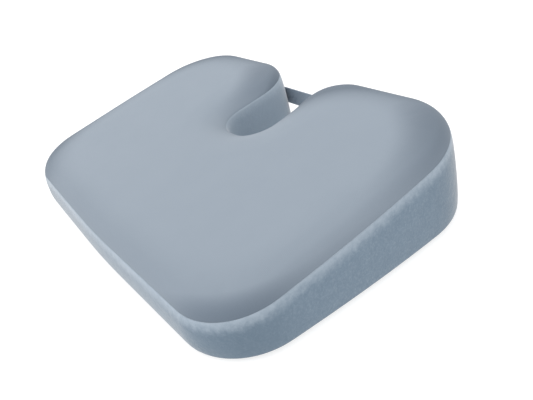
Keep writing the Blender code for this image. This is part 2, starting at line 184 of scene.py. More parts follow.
# Handle.
WEBBING_WIDTH = 0.021
WEBBING_THICKNESS = 0.0016
HANDLE_HEIGHT = 0.039
HANDLE_FREE_HALF = 0.084
HANDLE_REACH = 0.128
HANDLE_PAST = 0.0003  # its reach
HANDLE_GAP = 0.0003  # between the rear face and the webbing
HANDLE_SAG = 0.0008
REAR_FACE = DEPTH / 2 + BULGE
BOX_LENGTH = 0.032
BOX_WIDTH = 0.016
STITCH_PITCH = 0.0030
STITCH_RADIUS = 0.0003
STITCH_RISE = 0.0003
STITCH_SINK = 0.35  # of the rise, where a thread ends
STITCH_SHARES = (0.12, 0.5, 0.88)  # of the pitch: a stitch's start, top and end

# The camera's view, the floor and the lights.
VIEW_AZIMUTH = radians(61.03)
VIEW_ELEVATION = radians(30.74)
VIEW_ROLL = radians(-14.81)
VIEW_AIM = Vector((0.0999, -0.0059, 0.040))
VIEW_DISTANCE = 0.5105
VIEW_LENS = 37.93
VIEW_SHIFT = (-0.0062, -0.0167)
FLOOR_HALF = 6.0
FLOOR_HEIGHT = -0.0005
FLOOR_GLOW = 0.72
WORLD_STRENGTH = 1.10
LIGHTS = {"key": ((-2.0, -3.4, 2.2), 1.5, 48), "top": ((-0.2, 0.0, 2.4), 1.2, 6)}  # place, size, watts

Corner = namedtuple("Corner", "name x y radius")


# ---- the outline


def corner_list():
    """The outline's corners, anticlockwise from the middle of the front edge."""
    right = [
        Corner("front_right", FRONT_WIDTH / 2, -DEPTH / 2, FRONT_CORNER_RADIUS),
        Corner("side_right", (FRONT_WIDTH + REAR_WIDTH) / 4 + SIDE_BOW, 0, SIDE_RADIUS),
        Corner("rear_right", REAR_WIDTH / 2, DEPTH / 2, REAR_CORNER_RADIUS),
        Corner("mouth_right", CUTOUT_MOUTH_WIDTH / 2, DEPTH / 2, CUTOUT_MOUTH_RADIUS),
        Corner("end_right", CUTOUT_END_WIDTH / 2, DEPTH / 2 - CUTOUT_DEPTH, CUTOUT_END_RADIUS),
    ]
    left = [c._replace(name=c.name.replace("right", "left"), x=-c.x) for c in reversed(right)]
    return [Corner("front", 0, -DEPTH / 2 - FRONT_BOW, FRONT_RADIUS), *right, *left]


def rotation(angle):
    return np.array([[cos(angle), -sin(angle)], [sin(angle), cos(angle)]])


def arc_points(before, corner, after):
    """Points on one rounded corner, a step apart."""
    place = np.array([corner.x, corner.y])
    arriving = place - (before.x, before.y)
    leaving = np.array([after.x, after.y]) - place
    arriving /= np.linalg.norm(arriving)
    leaving /= np.linalg.norm(leaving)
    turn = atan2(arriving[0] * leaving[1] - arriving[1] * leaving[0], arriving @ leaving)
    start = place - arriving * corner.radius * tan(abs(turn) / 2)
    centre = start + rotation(np.sign(turn) * pi / 2) @ arriving * corner.radius
    count = max(2, round(abs(turn) * corner.radius / STEP))
    return [centre + rotation(turn * k / count) @ (start - centre) for k in range(count + 1)]


def straight_points(start, end):
    """Points a step apart strictly between two places."""
    count = max(1, round(np.linalg.norm(end - start) / STEP))
    return [start + (end - start) * k / count for k in range(1, count)]


def sample_outline():
    """Points round the outline about a step apart, and the index of each corner's first and last."""
    corners = corner_list()
    points = []
    marks = {}
    for before, corner, after in zip(corners[-1:] + corners[:-1], corners, corners[1:] + corners[:1]):
        arc = arc_points(before, corner, after)
        if points:
            points += straight_points(points[-1], arc[0])
        marks[corner.name] = (len(points), len(points) + len(arc) - 1)
        points += arc
    points += straight_points(points[-1], points[0])
    return np.array(points), marks


def blurred(values, reach):
    """A closed run of values averaged over their neighbours."""
    offsets = range(-reach, reach + 1)
    weights = [cos(pi * k / (2 * reach + 2)) ** 2 for k in offsets]
    return sum(w * np.roll(values, k, axis=0) for k, w in zip(offsets, weights)) / sum(weights)


POINTS, MARKS = sample_outline()
POINTS = blurred(POINTS, 4)
TANGENTS = blurred(np.roll(POINTS, -1, axis=0) - np.roll(POINTS, 1, axis=0), 2)
TANGENTS /= np.linalg.norm(TANGENTS, axis=1)[:, None]
OUTWARD = np.column_stack([TANGENTS[:, 1], -TANGENTS[:, 0]])
RUNS = np.linalg.norm(np.roll(POINTS, -1, axis=0) - POINTS, axis=1)
LENGTHS = np.concatenate([[0], np.cumsum(RUNS)[:-1]])
COUNT = len(POINTS)
EVERY = np.arange(COUNT)


def stations(start, end):
    """Station numbers from one to another, anticlockwise, round the end of the list if need be."""
    return np.arange(start, end + 1 if end >= start else end + 1 + COUNT) % COUNT


BAND_ENDS = [MARKS["side_left"][1], MARKS["mouth_right"][0], MARKS["mouth_left"][1], MARKS["rear_left"][0]]
MAIN, CUTOUT, REAR_LEFT, ZIP = [stations(*ends) for ends in zip(BAND_ENDS, BAND_ENDS[1:] + BAND_ENDS[:1])]
ZIP_SHARE = blurred(np.isin(EVERY, ZIP).astype(float), 6)


def along_to(mark):
    """Each station's distance along the outline from one station, either way round."""
    far = np.abs(LENGTHS - LENGTHS[mark])
    return np.minimum(far, LENGTHS[-1] - far)


BAND_SEAM = np.min([along_to(mark) for mark in BAND_ENDS], axis=0)


def inside_outline(points, ring):
    """Which flat points lie inside a closed ring."""
    x, y = points[:, 0][:, None], points[:, 1][:, None]
    x1, y1 = ring[:, 0][None], ring[:, 1][None]
    x2, y2 = np.roll(ring[:, 0], -1)[None], np.roll(ring[:, 1], -1)[None]
    crosses = (y1 > y) != (y2 > y)
    with np.errstate(divide="ignore", invalid="ignore"):
        left = x < (x2 - x1) * (y - y1) / (y2 - y1) + x1
    return (crosses & left).sum(axis=1) % 2 == 1


def spread(mask, reach):
    """A grid of values blurred over a reach counted in cells."""
    offsets = np.arange(-3 * reach, 3 * reach + 1)
    weights = np.exp(-0.5 * (offsets / reach) ** 2)
    for axis in (0, 1):
        mask = sum(w * np.roll(mask, k, axis=axis) for k, w in zip(offsets, weights)) / weights.sum()
    return mask


def openness(places, reach):
    """How much of the plan round each place lies inside the outline: 1 in the middle, about a half
    at a straight edge, and less on a convex corner."""
    margin = 4 * reach
    low = POINTS.min(axis=0) - margin
    size = np.ceil((POINTS.max(axis=0) + margin - low) / CELL).astype(int)
    columns, rows = np.meshgrid(np.arange(size[0]), np.arange(size[1]), indexing="ij")
    cells = low + CELL * np.column_stack([columns.ravel(), rows.ravel()])
    mask = spread(inside_outline(cells, POINTS[::3]).reshape(size).astype(float), round(reach / CELL))
    at = (places - low) / CELL
    near = np.floor(at).astype(int)
    share = at - near
    total = 0
    for dx in (0, 1):
        for dy in (0, 1):
            weight = np.abs(1 - dx - share[:, 0]) * np.abs(1 - dy - share[:, 1])
            total = total + weight * mask[near[:, 0] + dx, near[:, 1] + dy]
    return total


# ---- places on the soft surfaces


def seam_height(y):
    return FRONT_SEAM_HEIGHT + (REAR_SEAM_HEIGHT - FRONT_SEAM_HEIGHT) * (y + DEPTH / 2) / DEPTH


SEAMS = seam_height(POINTS[:, 1])


def stand_out(numbers, heights):
    """How far the side stands out from the outline; seams pull it in."""
    share = np.clip((heights - EDGE_RADIUS) / (SEAMS[numbers] - EDGE_RADIUS), 0, 1)
    foot = BULGE_FOOT + (1 - BULGE_FOOT) * np.sqrt(np.clip(share * 4, 0, 1))
    top_seam = np.exp(-(SEAMS[numbers] - heights) / SEAM_REACH)
    cross_seam = CROSS_SEAM_SHARE * np.exp(-BAND_SEAM[numbers] / SEAM_REACH)
    return BULGE * (1 - share ** 3) * foot - SEAM_RECESS * np.maximum(top_seam, cross_seam)


def room(numbers, depth):
    """The depth of an inner layer, with the room that the zipper needs."""
    return depth + (ZIP_ROOM * ZIP_SHARE[numbers] if depth >= LINER_DEPTH else 0)


def edge_row(numbers, angle, depth=0.0):
    """On the rounding under the side: -90 degrees is the underside and 0 the side."""
    low = stand_out(numbers, np.full(len(numbers), EDGE_RADIUS))
    groove = SEAM_RECESS * np.exp(-abs(angle - BASE_SEAM_ANGLE) * EDGE_RADIUS / SEAM_REACH * 2)
    reach = (EDGE_RADIUS + low - room(numbers, depth) - groove) * cos(angle) - EDGE_RADIUS
    height = EDGE_RADIUS + (EDGE_RADIUS - depth - groove) * sin(angle)
    flat = POINTS[numbers] + OUTWARD[numbers] * reach[:, None]
    return np.column_stack([flat, np.full(len(numbers), height)])


def side_row(numbers, heights, depth=0.0):
    """On the side at one height, or at a height for each station."""
    heights = np.broadcast_to(heights, len(numbers))
    reach = stand_out(numbers, heights) - room(numbers, depth)
    return np.column_stack([POINTS[numbers] + OUTWARD[numbers] * reach[:, None], heights])


def eased(value, start, end):
    """0 to 1 from start to end, smoothly."""
    share = np.clip((value - start) / (end - start), 0, 1)
    return share ** 2 * (3 - 2 * share)


def risen(inward, width, power):
    """0 at the seam to 1 a width in from it, and level there; a higher power starts steeper."""
    return 1 - (1 - np.clip(inward / width, 0, 1)) ** power


def crown_rise(inward, places):
    """Rise of the top above its seam's plane, by distance in from the seam and place in plan: a
    rounded shoulder outside, an even slope round the cutout."""
    shoulder = ROLL_SHARE * risen(inward, ROLL, 2.2) + (1 - ROLL_SHARE) * risen(inward, DOME, 2)
    slope = risen(inward, CUTOUT_SLOPE, 1.8)
    beyond = np.maximum(DEPTH / 2 - CUTOUT_DEPTH + CUTOUT_END_RADIUS - places[:, 1], 0)
    away = np.hypot(places[:, 0], beyond)
    share = eased(away, CUTOUT_FAR, CUTOUT_NEAR) * eased(DEPTH / 2 - places[:, 1], MOUTH_NEAR, MOUTH_FAR)
    return CROWN * (shoulder + (slope - shoulder) * share)


def top_row(inward, depth=0.0):
    """On the top, a distance in from the seam."""
    groove = SEAM_RECESS * exp(-inward / SEAM_REACH * 2) if depth < LINER_DEPTH else 0
    flat = POINTS - OUTWARD * (np.broadcast_to(room(EVERY, depth), COUNT) + inward + groove)[:, None]
    rise = crown_rise(inward, flat) * (1 - depth / CROWN)
    return np.column_stack([flat, seam_height(flat[:, 1]) + rise])


def split_row(depth, lift=0.0):
    """On the slanting plane between the two foams."""
    drop = COMFORT_THICKNESS + FOAM_DEPTH - CROWN
    rough = side_row(EVERY, SEAMS - drop, depth)
    rough[:, 2] = seam_height(rough[:, 1]) - drop + lift
    return rough


def side_rows(numbers, low, high, rows, depth=0.0):
    """Rows on the side from low to high, each a height or one for each station; closer together
    near the top."""
    low = np.broadcast_to(low, len(numbers))
    heights = [low + (high - low) * share ** 0.75 for share in np.linspace(0, 1, rows)]
    return [side_row(numbers, h, depth) for h in heights]


def shoulder_rows(rows, depth=0.0):
    """Rows on the top from the seam in over the shoulder, closer together near the seam."""
    return [top_row(inward, depth) for inward in SHOULDER * np.linspace(0, 1, rows) ** 1.6]


# ---- making the objects


def linked(name, data):
    made = bpy.data.objects.new(name, data)
    bpy.context.scene.collection.objects.link(made)
    return made


def new_object(name, vertices, faces, look, uvs=None, **values):
    """A smooth-shaded mesh object. uvs holds metres along the cloth, and each of the values is an
    attribute with one number for each vertex."""
    mesh = bpy.data.meshes.new(name)
    mesh.from_pydata([tuple(v) for v in vertices], [], faces)
    if uvs is not None:
        layer = mesh.uv_layers.new(name="cloth")
        corner_vertices = np.zeros(len(mesh.loops), dtype=int)
        mesh.loops.foreach_get("vertex_index", corner_vertices)
        layer.data.foreach_set("uv", np.asarray(uvs, dtype=float)[corner_vertices].ravel())
    for key, numbers in values.items():
        layer = mesh.attributes.new(key, "FLOAT", "POINT")
        layer.data.foreach_set("value", np.asarray(numbers, dtype=np.float32))
    mesh.materials.append(look)
    mesh.shade_smooth()
    return linked(name, mesh)


def grid_faces(rows, columns, closed=False):
    """Quads between the points of a grid, rows by columns, facing right-handed."""
    faces = []
    for r in range(rows - 1):
        for c in range(columns if closed else columns - 1):
            a, b = r * columns + c, r * columns + (c + 1) % columns
            faces.append((a, b, b + columns, a + columns))
    return faces


def facing_out(thing):
    shape = bmesh.new()
    shape.from_mesh(thing.data)
    bmesh.ops.recalc_face_normals(shape, faces=shape.faces)
    shape.to_mesh(thing.data)
    shape.free()
    return thing


def thicken(thing, thickness):
    """Gives a sheet its thickness, inwards."""
    solid = thing.modifiers.new("thickness", "SOLIDIFY")
    solid.thickness = thickness
    solid.offset = -1
    return thing


def vertex_places(mesh):
    flat = np.zeros(len(mesh.vertices) * 3)
    mesh.vertices.foreach_get("co", flat)
    return flat.reshape(-1, 3)


def drawn_tight(piece):
    """Runs cloth, sewn down round its first row and pushed out by the foam under it, and keeps the
    shape it takes. No point ends up farther than SWELL_CAP from where it began."""
    piece.vertex_groups.new(name="sewn").add(list(range(COUNT)), 1.0, "REPLACE")
    cloth = piece.modifiers.new("cloth", "CLOTH")
    cloth.point_cache.frame_end = SWELL_FRAMES
    for key, value in SWELL_CLOTH.items():
        setattr(cloth.settings, key, value)
    cloth.settings.effector_weights.gravity = 0
    cloth.collision_settings.use_collision = False
    for number in range(1, SWELL_FRAMES + 1):
        bpy.context.scene.frame_set(number)
    start = vertex_places(piece.data)
    moved = vertex_places(piece.evaluated_get(bpy.context.evaluated_depsgraph_get()).data) - start
    far = np.linalg.norm(moved, axis=1)[:, None]
    moved *= SWELL_CAP / np.maximum(far, SWELL_CAP)
    piece.modifiers.remove(cloth)
    piece.vertex_groups.clear()
    piece.data.vertices.foreach_set("co", (start + moved).ravel())
    piece.data.update()
    bpy.context.scene.frame_set(1)


def belongs(piece, body, slot, *nodes):
    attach(piece, body)
    if nodes:
        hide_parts(*nodes)
    return piece


def built(name, shape, look, body, slot, *nodes):
    """A closed piece from its vertices and faces, on its body."""
    return belongs(facing_out(new_object(name, *shape, look)), body, slot, *nodes)


def field_inside(ring, spacing, margin):
    """Points on a triangular lattice inside a ring and clear of it."""
    low, high = ring.min(axis=0), ring.max(axis=0)
    xs = np.arange(low[0], high[0], spacing)
    ys = np.arange(low[1], high[1], spacing * sin(pi / 3))
    field = np.array([(x + (k % 2) * spacing / 2, y) for k, y in enumerate(ys) for x in xs])
    away = np.array([np.linalg.norm(ring - p, axis=1).min() for p in field])
    return field[inside_outline(field, ring) & (away > margin)]


def filled(ring, spacing):
    """Triangles over the inside of a flat ring: its points first, then points inside it."""
    field = field_inside(ring, spacing, spacing * 0.6)
    points = [Vector(p) for p in np.vstack([ring, field])]
    edges = [(k, (k + 1) % len(ring)) for k in range(len(ring))]
    places, _, triangles, *_ = delaunay_2d_cdt(points, edges, [], 1, 1e-7)
    return np.array([tuple(p) for p in places]), [tuple(t) for t in triangles]


def skin(name, rows, look, caps, cap_spacing, domed=False):
    """A surface through closed rows round the outline, with either end filled: flat, or domed
    like the top."""
    vertices = [np.array(rows).reshape(-1, 3)]
    faces = grid_faces(len(rows), COUNT, closed=True)
    for end, wanted in zip((0, -1), caps):
        if not wanted:
            continue
        first = (len(rows) - 1) * COUNT if end else 0
        ring = rows[end]
        flat, triangles = filled(ring[:, :2], cap_spacing)
        slope = np.polyfit(ring[:, 1], ring[:, 2], 1)
        inner = flat[COUNT:]
        after = sum(len(v) for v in vertices) - COUNT
        heights = np.polyval(slope, inner[:, 1])
        if domed:
            away = np.array([np.linalg.norm(POINTS - p, axis=1).min() for p in inner])
            heights = seam_height(inner[:, 1]) + crown_rise(away, inner)
        vertices.append(np.column_stack([inner, heights]))
        number = lambda k: first + k if k < COUNT else after + k
        faces += [tuple(number(k) for k in face) for face in triangles]
    vertices = np.vstack(vertices)
    flat = vertices[:, :2]
    values = {"wide": openness(flat, WIDE_REACH), "narrow": openness(flat, NARROW_REACH)}
    # how openness changes along two set ways, which the knit's painted shade on slopes follows
    for key, way in (("lean", PAINTED_SHADE_WAY), ("across", PAINTED_SHADE_ACROSS)):
        step = 2 * CELL * way
        values[key] = (openness(flat - step, WIDE_REACH) - openness(flat + step, WIDE_REACH)) * LEAN_SCALE
    made = new_object(name, vertices, faces, look, flat, **values)
    return facing_out(made)


def band(name, numbers, rows, look):
    """A strip of cloth over some stations, through rows from low to high."""
    vertices = np.vstack(rows)
    run = np.concatenate([[0], np.cumsum(RUNS[numbers][:-1])])
    uvs = np.column_stack([np.tile(run, len(rows)), vertices[:, 2]])
    # painted light on the cutout's walls, away from the band's ends
    cutout_painted_light = eased(BAND_SEAM[numbers], 0, CUTOUT_PAINTED_LIGHT_REACH) * (name == "cover_band_cutout")
    # attributes that the velour's painted highlight below the seam, painted corner shade and painted light
    # in the cutout follow
    values = {
        "from_seam": np.tile(SEAMS[numbers], len(rows)) - vertices[:, 2],
        "wide": openness(vertices[:, :2], WIDE_REACH),
        "cutout_painted_light": np.tile(cutout_painted_light, len(rows)),
    }
    return new_object(name, vertices, grid_faces(len(rows), len(numbers)), look, uvs, **values)


def frames_along(path):
    """Two directions across a path at each of its points, carried along without twisting."""
    path = np.asarray(path, dtype=float)
    ahead = np.gradient(path, axis=0)
    ahead /= np.linalg.norm(ahead, axis=1)[:, None]
    side = np.cross(ahead[0], (0.3, 0.5, 0.8))
    sides = []
    for direction in ahead:
        side = side - direction * (side @ direction)
        side = side / np.linalg.norm(side)
        sides.append(side)
    return np.array(sides), np.cross(ahead, sides)


def around(sides):
    return np.linspace(0, 2 * pi, sides, endpoint=False)


def signed_power(values, power):
    """A power of the size of each value, with the value's own sign."""
    return np.sign(values) * np.abs(values) ** power


def closed_tube(rings):
    """Vertices and faces of a tube through rings of points, closed at both ends."""
    count, sides = len(rings), len(rings[0])
    faces = grid_faces(count, sides, closed=True)
    faces += [tuple(range(sides))[::-1], tuple(range((count - 1) * sides, count * sides))]
    return np.vstack(rings), faces


def tube(path, radius, sides):
    """A round wire along a path."""
    cosines, sines = np.cos(around(sides)), np.sin(around(sides))
    rings = []
    for place, across, up in zip(path, *frames_along(path)):
        rings.append(place + radius * (np.outer(cosines, across) + np.outer(sines, up)))
    return closed_tube(rings)


def joined(parts):
    """One list of vertices and faces from several."""
    vertices, faces, count = [], [], 0
    for points, quads in parts:
        vertices.append(points)
        faces += [tuple(k + count for k in face) for face in quads]
        count += len(points)
    return np.vstack(vertices), faces


def stitch(start, end, lift):
    """One stitch: a short thread that rises out of the cloth between its two holes."""
    shares = np.linspace(0, 1, 6)
    path = [start + (end - start) * s + lift * (sin(pi * s) - STITCH_SINK) for s in shares]
    return tube(path, STITCH_RADIUS, 5)


def distances(path):
    """How far along a path each of its points is."""
    return np.concatenate([[0], np.cumsum(np.linalg.norm(np.diff(path, axis=0), axis=1))])


def at_stops(values, run, stops):
    """Rows of values that go with distances along a run, worked out at some stops."""
    return np.column_stack([np.interp(stops, run, column) for column in values.T])


def stitch_line(path, out):
    """Stitches along a path of points, a pitch apart; out is the way out of the cloth at each."""
    run = distances(path)
    count = max(1, round(run[-1] / STITCH_PITCH))
    starts, tops, ends = [(np.arange(count) + share) * (run[-1] / count) for share in STITCH_SHARES]
    lifts = at_stops(np.broadcast_to(out, path.shape), run, tops) * STITCH_RISE
    return [stitch(*three) for three in zip(at_stops(path, run, starts), at_stops(path, run, ends), lifts)]


# ---- materials


def new_material(name, colour, roughness, **inputs):
    """A material and its node tree; inputs sets more of the shader's sockets by name."""
    made = bpy.data.materials.new(name)
    made.use_nodes = True
    shader = made.node_tree.nodes["Principled BSDF"]
    for key, value in {"Base_Color": (*colour, 1), "Roughness": roughness, **inputs}.items():
        shader.inputs[key.replace("_", " ")].default_value = value
    return made, made.node_tree


def add(tree, kind, settings=None, **inputs):
    """A node; its settings by name, and its inputs by name or number, as values or linked outputs."""
    made = tree.nodes.new("ShaderNode" + kind)
    for key, value in (settings or {}).items():
        setattr(made, key, value)
    for key, value in inputs.items():
        socket = made.inputs[int(key[2:])] if key.startswith("at") else made.inputs[key.replace("_", " ")]
        if isinstance(value, bpy.types.NodeSocket):
            tree.links.new(value, socket)
        else:
            socket.default_value = value
    return made.outputs[0]


def math(tree, operation, first, second=0.0):
    return add(tree, "Math", {"operation": operation}, at0=first, at1=second)


def times(tree, first, second):
    return math(tree, "MULTIPLY", first, second)


def plus(tree, first, second):
    return math(tree, "ADD", first, second)


def between(tree, value, low, high, to_low=0.0, to_high=1.0):
    """A value carried smoothly from one range to another, and held at its ends."""
    ranges = {"From_Min": low, "From_Max": high, "To_Min": to_low, "To_Max": to_high}
    return add(tree, "MapRange", {"interpolation_type": "SMOOTHSTEP"}, Value=value, **ranges)


def mixed(tree, share, first, second):
    """Two colours mixed; each is a colour or an output."""
    colour = lambda value: value if isinstance(value, bpy.types.NodeSocket) else (*value, 1)
    made = add(tree, "Mix", {"data_type": "RGBA"}, at0=share, at6=colour(first), at7=colour(second))
    return made.node.outputs[2]


def own_place(tree):
    """The object's own coordinates, in metres."""
    return add(tree, "TexCoord").node.outputs["Object"]


def surface_noise(tree, scale, detail, roughness=0.55):
    """Noise over the object's own coordinates, in cycles a metre."""
    return add(tree, "TexNoise", Vector=own_place(tree), Scale=scale, Detail=detail, Roughness=roughness)


def cloth_lengths(tree):
    """Metres across and along the cloth."""
    place = add(tree, "UVMap", {"uv_map": "cloth"})
    apart = add(tree, "SeparateXYZ", at0=place).node
    return apart.outputs[0], apart.outputs[1]


def ridges(tree, length, pitch):
    """From 0 to 1 and back every pitch along a length."""
    return math(tree, "ABSOLUTE", math(tree, "SINE", times(tree, length, pi / pitch)))


def finished(made, colour, height, bump, strength, roughness=None):
    """The material with its colour, bump and perhaps roughness linked to its shader."""
    tree = made.node_tree
    inputs = tree.nodes["Principled BSDF"].inputs
    tree.links.new(colour, inputs["Base Color"])
    if roughness is not None:
        tree.links.new(roughness, inputs["Roughness"])
    bumped = add(tree, "Bump", Height=height, Distance=bump, Strength=strength)
    tree.links.new(bumped, inputs["Normal"])
    return made


def knit_height(tree, wale, course):
    """Columns of small V stitches."""
    across, along = cloth_lengths(tree)
    leaning = times(tree, ridges(tree, across, wale), course * 0.5)
    rows = ridges(tree, plus(tree, along, leaning), course)
    return plus(tree, ridges(tree, across, wale), times(tree, rows, 0.7))


def attribute(tree, name):
    return add(tree, "Attribute", {"attribute_name": name}).node.outputs["Fac"]


def knit_look():
    """Fine stretch knit, with painted shade over the shoulder towards the seam, most of all on a convex
    corner and on slopes that fall away against one set way in plan."""
    made, tree = new_material("top_knit_look", KNIT, 0.9, Sheen_Weight=0.12, Sheen_Roughness=0.6)
    # painted shade over the shoulder: deepest where openness is low, near the seam
    wide = between(tree, attribute(tree, "wide"), 0.28, 0.85, 1.15, 0.0)
    narrow = between(tree, attribute(tree, "narrow"), 0.45, 1.0, 1.0, 0.0)
    # painted shade deeper or lighter by which way the slope falls
    lean = between(tree, attribute(tree, "lean"), -1.0, 1.0, 1.9, 0.30)
    painted_shade = plus(tree, times(tree, wide, 0.95), times(tree, narrow, 0.05))
    # painted shade on a convex corner, at least this deep
    corner = between(tree, attribute(tree, "wide"), 0.36, 0.61, 1.0, 0.0)
    # painted shade where the cloth falls away steeply towards the rear right
    across = between(tree, attribute(tree, "across"), 0.60, 1.15, 0.0, 1.0)
    painted_shade = math(tree, "MAXIMUM", times(tree, painted_shade, lean), corner)
    painted_shade = math(tree, "MAXIMUM", painted_shade, across)
    flat = mixed(tree, between(tree, surface_noise(tree, 26, 3), 0.35, 0.65), KNIT, KNIT_FLECK)
    colour = mixed(tree, painted_shade, flat, KNIT_PAINTED_SHADE)
    return finished(made, colour, knit_height(tree, 0.0011, 0.0009), bump=0.00012, strength=0.35)


def velour_look():
    """Short pile: mottled, with a painted highlight just below the top seam, painted light on the
    cutout's walls, and painted shade round a convex corner."""
    sheen = {"Sheen_Weight": 0.55, "Sheen_Roughness": 0.35, "Sheen_Tint": SHEEN}
    made, tree = new_material("side_velour_look", VELOUR, 1.0, **sheen)
    blotch = between(tree, surface_noise(tree, 110, 4, 0.6), 0.32, 0.68)
    grain = surface_noise(tree, 480, 4, 0.7)
    pile = mixed(tree, blotch, VELOUR_DARK, VELOUR)
    pile = mixed(tree, times(tree, between(tree, grain, 0.40, 0.75), 0.30), pile, VELOUR_FLECK_AND_PAINTED_LIGHT)
    # painted shade round a convex corner, where openness is low
    turned = between(tree, attribute(tree, "wide"), 0.26, 0.50, 1.0, 0.0)
    pile = mixed(tree, turned, pile, VELOUR_PAINTED_SHADE)
    # painted light on the cutout's walls
    pile = mixed(tree, times(tree, attribute(tree, "cutout_painted_light"), 0.6), pile, VELOUR_FLECK_AND_PAINTED_LIGHT)
    away = attribute(tree, "from_seam")
    ragged = plus(tree, away, times(tree, surface_noise(tree, 190, 4, 0.7), 0.012))
    ragged = plus(tree, ragged, times(tree, surface_noise(tree, 22, 1), 0.004))
    # painted highlight in a ragged strip just below the top seam
    painted_rim_highlight = between(tree, ragged, 0.0065, 0.0205, 1.0, 0.0)
    colour = mixed(tree, painted_rim_highlight, pile, VELOUR_FLECK_AND_PAINTED_LIGHT)
    nap = plus(tree, times(tree, blotch, 0.6), grain)
    return finished(made, colour, nap, bump=0.0006, strength=0.45)


def grip_look():
    """Woven polyester of the underside: crossing ridges."""
    made, tree = new_material("grip_fabric_look", GRIP, 0.85, Sheen_Weight=0.15)
    height = times(tree, *[ridges(tree, length, 0.0009) for length in cloth_lengths(tree)])
    colour = mixed(tree, between(tree, height, 0.0, 0.7), GRIP_DARK, GRIP)
    return finished(made, colour, height, bump=0.0002, strength=0.7)


def rubber_look():
    """Printed rubber dots."""
    made, tree = new_material("grip_dot_look", RUBBER, 0.45)
    mottle = surface_noise(tree, 300, 3)
    colour = mixed(tree, mottle, RUBBER, RUBBER_LIGHT)
    gloss = between(tree, mottle, 0.3, 0.7, 0.38, 0.6)
    return finished(made, colour, mottle, bump=0.0001, strength=0.5, roughness=gloss)


def liner_look():
    """Thin stockinette."""
    made, tree = new_material("liner_cloth_look", LINER, 0.9, Sheen_Weight=0.2)
    height = knit_height(tree, 0.0016, 0.0013)
    colour = mixed(tree, between(tree, height, 0.2, 1.4), LINER_DARK, LINER)
    return finished(made, colour, height, bump=0.0002, strength=0.6)


def foam_look(name, colour, dark, cell):
    """Open foam cells, a cell across."""
    made, tree = new_material(name, colour, 0.95)
    cells = add(tree, "TexVoronoi", Vector=own_place(tree), Scale=1 / cell)
    tone = mixed(tree, between(tree, cells, 0.1, 0.7), colour, dark)
    return finished(made, tone, cells, bump=-cell * 0.3, strength=0.7)


def webbing_look():
    """Ribbed webbing: lengthwise ribs crossed by fine picks."""
    made, tree = new_material("webbing_look", WEBBING, 0.75, Sheen_Weight=0.35, Sheen_Roughness=0.4)
    along, across = cloth_lengths(tree)
    rib = ridges(tree, across, 0.0021)
    pick = ridges(tree, plus(tree, along, times(tree, rib, 0.0006)), 0.0012)
    height = plus(tree, rib, times(tree, pick, 0.5))
    shade = mixed(tree, between(tree, height, 0.2, 1.2), WEBBING_DARK, WEBBING)
    worn = between(tree, surface_noise(tree, 60, 3), 0.4, 0.7, 0.0, 0.5)
    return finished(made, mixed(tree, worn, shade, WEBBING_LIGHT), height, bump=0.00035, strength=0.8)


def twill_look(name, colour, dark):
    """Zipper tape: narrow twill."""
    made, tree = new_material(name, colour, 0.8, Sheen_Weight=0.2)
    across, along = cloth_lengths(tree)
    slant = plus(tree, across, times(tree, ridges(tree, along, 0.0048), 0.0024))
    height = ridges(tree, slant, 0.0008)
    return finished(made, mixed(tree, height, dark, colour), height, bump=0.0001, strength=0.7)


def smooth_look(name, colour, worn, roughness, metallic=0.0):
    """Nylon, thread or enamelled metal: faint wear in colour and gloss."""
    made, tree = new_material(name, colour, roughness, Metallic=metallic)
    wear = surface_noise(tree, 700, 4, 0.6)
    gloss = between(tree, wear, 0.3, 0.7, roughness * 0.85, roughness * 1.25)
    colours = mixed(tree, between(tree, wear, 0.45, 0.75), colour, worn)
    return finished(made, colours, wear, bump=0.00004, strength=0.4, roughness=gloss)


def thread_look():
    """Twisted sewing thread."""
    made, tree = new_material("thread_look", THREAD, 0.6, Sheen_Weight=0.2)
    twist = add(tree, "TexWave", {"bands_direction": "DIAGONAL"}, Vector=own_place(tree), Scale=900.0)
    return finished(made, mixed(tree, twist, THREAD, WEBBING_LIGHT), twist, bump=0.0001, strength=0.5)


KNIT = (0.239, 0.284, 0.338)
KNIT_FLECK = (0.243, 0.288, 0.342)
# painted shade of the knit over its shoulders and corners
KNIT_PAINTED_SHADE = (0.108, 0.142, 0.184)
VELOUR = (0.156, 0.214, 0.275)
VELOUR_DARK = (0.144, 0.200, 0.260)
# light colour of the velour's random flecks, and of its painted highlight and painted light
VELOUR_FLECK_AND_PAINTED_LIGHT = (0.320, 0.380, 0.445)
# painted shade of the velour round convex corners
VELOUR_PAINTED_SHADE = (0.098, 0.144, 0.192)
SHEEN = (1.0, 0.96, 0.93, 1.0)
GRIP = (0.075, 0.095, 0.115)
GRIP_DARK = (0.035, 0.045, 0.058)
RUBBER = (0.028, 0.034, 0.042)
RUBBER_LIGHT = (0.050, 0.058, 0.070)
LINER = (0.78, 0.78, 0.76)
LINER_DARK = (0.55, 0.55, 0.53)
SUPPORT_FOAM = (0.62, 0.64, 0.62)
SUPPORT_FOAM_DARK = (0.40, 0.42, 0.41)
MEMORY_FOAM = (0.80, 0.75, 0.58)
MEMORY_FOAM_DARK = (0.60, 0.55, 0.40)
WEBBING = (0.290, 0.352, 0.425)
WEBBING_DARK = (0.225, 0.277, 0.340)
WEBBING_LIGHT = (0.330, 0.395, 0.470)
TAPE = (0.120, 0.160, 0.205)
TAPE_DARK = (0.070, 0.098, 0.130)
COIL = (0.062, 0.088, 0.118)
COIL_WORN = (0.085, 0.115, 0.150)
METAL = (0.23, 0.26, 0.30)
METAL_WORN = (0.42, 0.45, 0.48)
THREAD = (0.085, 0.115, 0.150)
FLOOR = (0.40, 0.40, 0.40)


# ---- foam and liner


